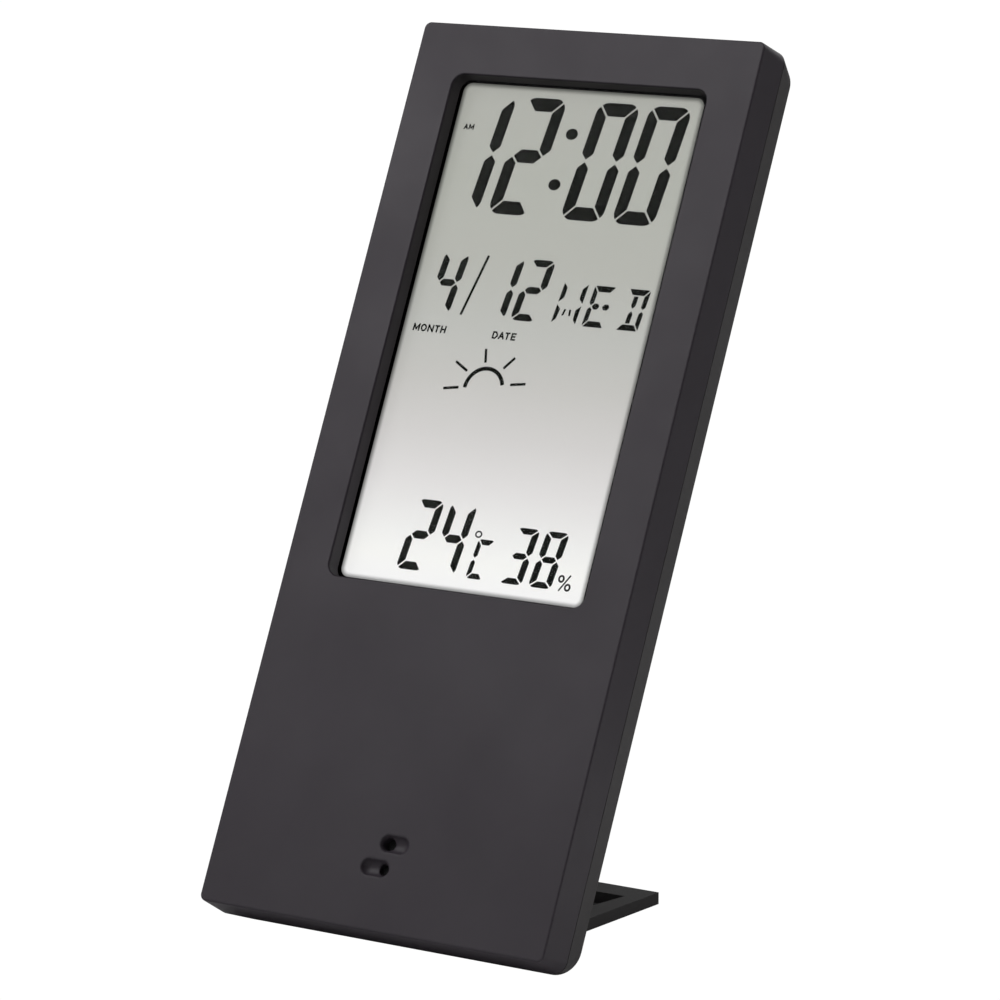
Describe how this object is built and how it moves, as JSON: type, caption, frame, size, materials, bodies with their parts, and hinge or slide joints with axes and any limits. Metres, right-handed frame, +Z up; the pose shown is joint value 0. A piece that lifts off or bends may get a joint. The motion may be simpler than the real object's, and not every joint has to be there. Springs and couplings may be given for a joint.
{
  "type": "home weather station",
  "caption": "Slim leaning desk clock with a tall display of time, date, temperature and humidity, air vents, a sliding battery door, rear buttons and a fold-out frame stand.",
  "frame": {"origin": "on the table, under the middle of the whole object's box", "axes": "+Z up from the table, +X towards the display's right as the reader sees it, +Y towards the back; the display faces -Y and leans back"},
  "size_m": [0.0626, 0.0754, 0.133],
  "materials": {
    "front_housing": "fine matt grain",
    "rear_housing": "fine matt grain",
    "battery_door": "fine matt grain",
    "kickstand": "fine matt grain",
    "button": "satin",
    "display_window": "clear, polished",
    "front_polarizer": "satin film",
    "lcd_glass": "clear",
    "rear_reflector": "silver grey film",
    "lcd_tray": "matt",
    "zebra_strip": "matt, with fine dark layers",
    "circuit_board": "green lacquer",
    "chip_blob": "black resin",
    "can_metal": "drawn",
    "component": "matt",
    "sensor_white": "matt",
    "thermistor": "dipped resin",
    "vent_membrane": "fine mesh",
    "cell_wrap": "printed sleeve",
    "spring_steel": "nickel plated",
    "wire_red": "insulation",
    "wire_black": "insulation",
    "wire_grey": "insulation",
    "screw_steel": "zinc plated"
  },
  "bodies": {
    "housing": {"front_housing": "front_housing", "rear_housing": "rear_housing", "display_window": "display_window", "front_polarizer": "front_polarizer", "lcd_front_glass": "lcd_glass", "lcd_rear_glass": "lcd_glass", "rear_reflector": "rear_reflector", "lcd_tray": "lcd_tray", "zebra_strip": "zebra_strip", "main_board": "circuit_board", "chip_blob": "chip_blob", "crystal": "can_metal", "chip_resistors": "component", "capacitors": "can_metal", "switch_bodies": "component", "switch_plungers": "sensor_white", "sensor_board": "circuit_board", "humidity_sensor": "sensor_white", "thermistor": "thermistor", "vent_membrane": "vent_membrane", "battery_upper": "cell_wrap", "battery_lower": "cell_wrap", "contact_positive": "spring_steel", "contact_negative": "spring_steel", "contact_bridge": "spring_steel", "wire_red": "wire_red", "wire_black": "wire_black", "sensor_cable": "wire_grey", "case_screws": "screw_steel", "tray_screws": "screw_steel", "board_screws": "screw_steel", "sensor_screws": "screw_steel"},
    "door": {"battery_door": "battery_door"},
    "stand": {"kickstand": "kickstand"},
    "key_mode": {"button_mode": "button"},
    "key_up": {"button_up": "button"},
    "key_down": {"button_down": "button"},
    "key_unit": {"button_unit": "button"}
  },
  "joints": [
    {"name": "door_slide", "type": "slide", "parent": "housing", "child": "door", "axis": [0, -0.4471, -0.8945], "range_m": [0, 0.027]},
    {"name": "stand_fold", "type": "hinge", "parent": "housing", "child": "stand", "pos_m": [0, -0.02563, 0.0035], "axis": [1, 0, 0], "range_deg": [0, 63.44]},
    {"name": "button_mode_press", "type": "slide", "parent": "housing", "child": "key_mode", "axis": [0, -0.8945, 0.4471], "range_m": [0, 0.0005]},
    {"name": "button_up_press", "type": "slide", "parent": "housing", "child": "key_up", "axis": [0, -0.8945, 0.4471], "range_m": [0, 0.0005]},
    {"name": "button_down_press", "type": "slide", "parent": "housing", "child": "key_down", "axis": [0, -0.8945, 0.4471], "range_m": [0, 0.0005]},
    {"name": "button_unit_press", "type": "slide", "parent": "housing", "child": "key_unit", "axis": [0, -0.8945, 0.4471], "range_m": [0, 0.0005]}
  ]
}
